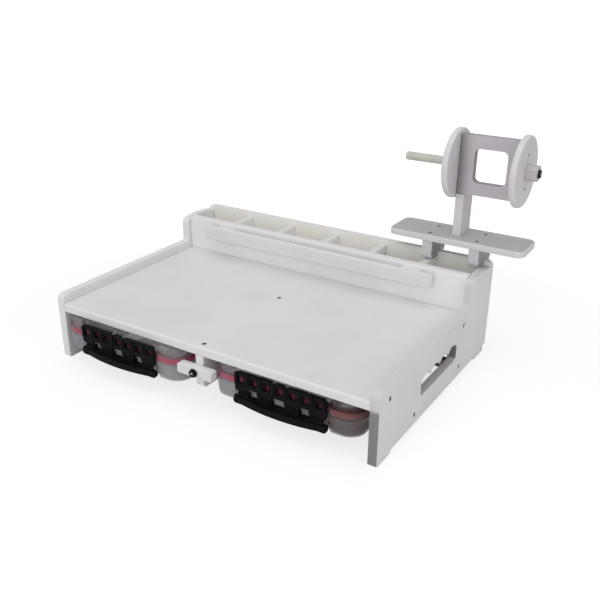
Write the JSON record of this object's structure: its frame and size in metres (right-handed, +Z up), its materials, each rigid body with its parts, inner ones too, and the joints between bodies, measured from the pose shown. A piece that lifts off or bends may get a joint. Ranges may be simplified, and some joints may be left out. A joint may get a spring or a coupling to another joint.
{
  "type": "line winder station",
  "caption": "Fishing line winder with a spinning two-disc spool, hooked over the back of a white sheet-plastic tackle station with a divided bin, tool rack and tackle boxes.",
  "frame": {"origin": "centre of the overall box in plan, at the height of the feet", "axes": "+X along the station's width towards the winder's hub, +Y from the front edge to the back panel, +Z up"},
  "size_m": [0.6028, 0.438, 0.349],
  "materials": {
    "white_sheet": "fine grained",
    "axle_rod": "satin",
    "tub_plastic": "clear, smoky",
    "lid_plastic": "clear, smoky",
    "gasket": "matte",
    "black_plastic": "satin",
    "steel": "stainless"
  },
  "bodies": {
    "station": {"back_panel": "white_sheet", "back_screws": "steel", "bin_divider_1": "white_sheet", "bin_divider_2": "white_sheet", "bin_divider_3": "white_sheet", "bin_divider_4": "white_sheet", "bin_divider_5": "white_sheet", "bin_front_panel": "white_sheet", "bin_screws": "steel", "centre_partition": "white_sheet", "front_stretcher": "white_sheet", "left_side_panel": "white_sheet", "rear_stretcher": "white_sheet", "right_side_panel": "white_sheet", "side_panel_screws": "steel", "tool_rack_bar": "white_sheet", "tool_rack_screws": "steel", "tool_rack_spacers": "white_sheet", "turn_button_screw": "steel", "turn_button_washer": "steel", "worktop": "white_sheet", "worktop_screws": "steel"},
    "winder_bracket": {"winder_board": "white_sheet", "winder_leg_left": "white_sheet", "winder_leg_right": "white_sheet", "winder_post": "white_sheet", "bearing_disc": "white_sheet", "winder_board_screws": "steel", "winder_post_screws": "steel", "bearing_disc_screws": "steel"},
    "spool": {"spool_web": "white_sheet", "spool_disc": "white_sheet", "spool_axle": "axle_rod", "hub_block": "white_sheet", "hub_washer": "steel", "hub_bolt": "steel", "spool_disc_screws": "steel"},
    "turn_button": {"turn_button": "white_sheet"},
    "left_box": {"left_box_tub": "tub_plastic", "left_box_gasket": "gasket", "left_box_lid": "lid_plastic", "left_box_latch_pin": "steel", "left_box_handle_pin": "steel", "left_box_hinge_pin": "steel", "left_box_dividers": "tub_plastic"},
    "left_box_latch": {"left_box_latch": "black_plastic"},
    "left_box_handle": {"left_box_handle": "black_plastic"},
    "right_box": {"right_box_tub": "tub_plastic", "right_box_gasket": "gasket", "right_box_lid": "lid_plastic", "right_box_latch_pin": "steel", "right_box_handle_pin": "steel", "right_box_hinge_pin": "steel", "right_box_dividers": "tub_plastic"},
    "right_box_latch": {"right_box_latch": "black_plastic"},
    "right_box_handle": {"right_box_handle": "black_plastic"}
  },
  "joints": [
    {"name": "turn_button_turn", "type": "hinge", "parent": "station", "child": "turn_button", "pos_m": [-0.0284, -0.20555, 0.057], "axis": [0, 1, 0], "continuous": true},
    {"name": "winder_lift", "type": "slide", "parent": "station", "child": "winder_bracket", "axis": [0, 0, 1], "range_m": [0, 0.15]},
    {"name": "spool_spin", "type": "hinge", "parent": "winder_bracket", "child": "spool", "pos_m": [0.1826, 0.167, 0.297], "axis": [1, 0, 0], "continuous": true},
    {"name": "left_box_slide", "type": "slide", "parent": "station", "child": "left_box", "axis": [0, -1, 0], "range_m": [-0.02, 0.004]},
    {"name": "left_box_latch_turn", "type": "hinge", "parent": "left_box", "child": "left_box_latch", "pos_m": [-0.17092, -0.2065, 0.0694], "axis": [-1, 0, 0], "range_deg": [0, 85]},
    {"name": "left_box_handle_turn", "type": "hinge", "parent": "left_box", "child": "left_box_handle", "pos_m": [-0.17092, -0.2065, 0.0402], "axis": [-1, 0, 0], "range_deg": [0, 85]},
    {"name": "right_box_slide", "type": "slide", "parent": "station", "child": "right_box", "axis": [0, -1, 0], "range_m": [-0.011, 0.003]},
    {"name": "right_box_latch_turn", "type": "hinge", "parent": "right_box", "child": "right_box_latch", "pos_m": [0.10262, -0.1965, 0.0694], "axis": [-1, 0, 0], "range_deg": [0, 85]},
    {"name": "right_box_handle_turn", "type": "hinge", "parent": "right_box", "child": "right_box_handle", "pos_m": [0.10262, -0.1965, 0.0402], "axis": [-1, 0, 0], "range_deg": [0, 85]}
  ]
}
